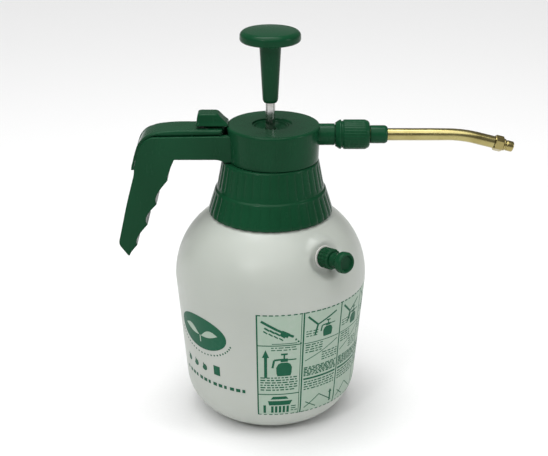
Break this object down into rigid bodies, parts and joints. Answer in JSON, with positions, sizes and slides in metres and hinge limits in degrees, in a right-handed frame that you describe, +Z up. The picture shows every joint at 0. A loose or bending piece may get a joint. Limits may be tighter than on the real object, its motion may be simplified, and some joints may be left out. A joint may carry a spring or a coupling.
{
  "type": "hand pump sprayer",
  "caption": "Hand held compression sprayer: bottle, screw collar, pump head with grip and thumb valve, bent lance, relief valve.",
  "frame": {"origin": "centre of the bottle's flat base, on the surface it stands on", "axes": "+Z up along the bottle and the pump, +X along the lance, the grip hangs at -X"},
  "size_m": [0.2897, 0.143, 0.297],
  "materials": {
    "bottle_plastic": "natural translucent polyethylene, printed in green",
    "green_plastic": "glossy moulded dark green",
    "white_plastic": "moulded",
    "rubber": "matte",
    "brass": "bright drawn",
    "steel": "bright ground"
  },
  "bodies": {
    "bottle": {"bottle": "bottle_plastic", "relief_base": "green_plastic", "relief_seal": "rubber", "relief_spring": "steel"},
    "relief_pull": {"relief_knob": "green_plastic", "relief_washer": "rubber"},
    "head": {"head_housing": "green_plastic", "arm_cover": "green_plastic", "lever_pin": "steel", "valve_body": "white_plastic", "valve_spring": "steel", "delivery_tube": "white_plastic", "dip_tube": "white_plastic", "intake_filter": "white_plastic", "pump_cylinder": "white_plastic", "check_valve": "rubber", "neck_gasket": "rubber", "rod_guide": "green_plastic"},
    "collar": {"collar_nut": "green_plastic"},
    "plunger": {"plunger_knob": "green_plastic", "pump_rod": "steel", "piston": "white_plastic", "piston_ring": "rubber", "piston_nut": "brass"},
    "thumb_lever": {"thumb_lever": "green_plastic"},
    "valve": {"valve_stem": "brass", "valve_seal": "rubber"},
    "union_nut": {"lance_nut": "green_plastic"},
    "lance": {"lance_tube": "brass", "lance_sleeve": "green_plastic", "lance_o_ring": "rubber", "lance_ring": "brass", "nozzle_body": "brass", "swirl_core": "brass", "nozzle_o_ring": "rubber"},
    "nozzle": {"nozzle_tip": "brass"}
  },
  "joints": [
    {"name": "head_lift", "type": "slide", "parent": "bottle", "child": "head", "axis": [0, 0, 1], "range_m": [0, 0.2]},
    {"name": "collar_turn", "type": "hinge", "parent": "head", "child": "collar", "pos_m": [0, 0, 0.18], "axis": [0, 0, 1], "continuous": true},
    {"name": "pump_stroke", "type": "slide", "parent": "head", "child": "plunger", "axis": [0, 0, 1], "range_m": [-0.016, 0.09]},
    {"name": "thumb_press", "type": "hinge", "parent": "head", "child": "thumb_lever", "pos_m": [-0.0355, 0, 0.2234], "axis": [0, -1, 0], "range_deg": [0, 6], "stiffness_Nm_per_rad": 0.02, "springref_deg": -2.86},
    {"name": "valve_open", "type": "slide", "parent": "head", "child": "valve", "axis": [0, 0, -1], "range_m": [0, 0.00078], "stiffness_N_per_m": 8, "springref_m": -0.002, "deforming": ["valve_spring"]},
    {"name": "union_nut_turn", "type": "hinge", "parent": "head", "child": "union_nut", "pos_m": [0.06, 0, 0.2195], "axis": [1, 0, 0], "continuous": true},
    {"name": "lance_swivel", "type": "hinge", "parent": "head", "child": "lance", "pos_m": [0.06, 0, 0.2195], "axis": [1, 0, 0], "continuous": true},
    {"name": "nozzle_turn", "type": "hinge", "parent": "lance", "child": "nozzle", "pos_m": [0.16214, 0, 0.21357], "axis": [0.9681, 0, -0.2504], "range_deg": [-180, 180]},
    {"name": "relief_vent", "type": "slide", "parent": "bottle", "child": "relief_pull", "axis": [0.6374, -0.7597, 0.1288], "range_m": [0, 0.003], "stiffness_N_per_m": 100, "springref_m": -0.002, "deforming": ["relief_spring"]}
  ],
  "couplings": [
    {"joint": "thumb_press", "follows": "valve_open", "rad_per_m": 133.33}
  ]
}
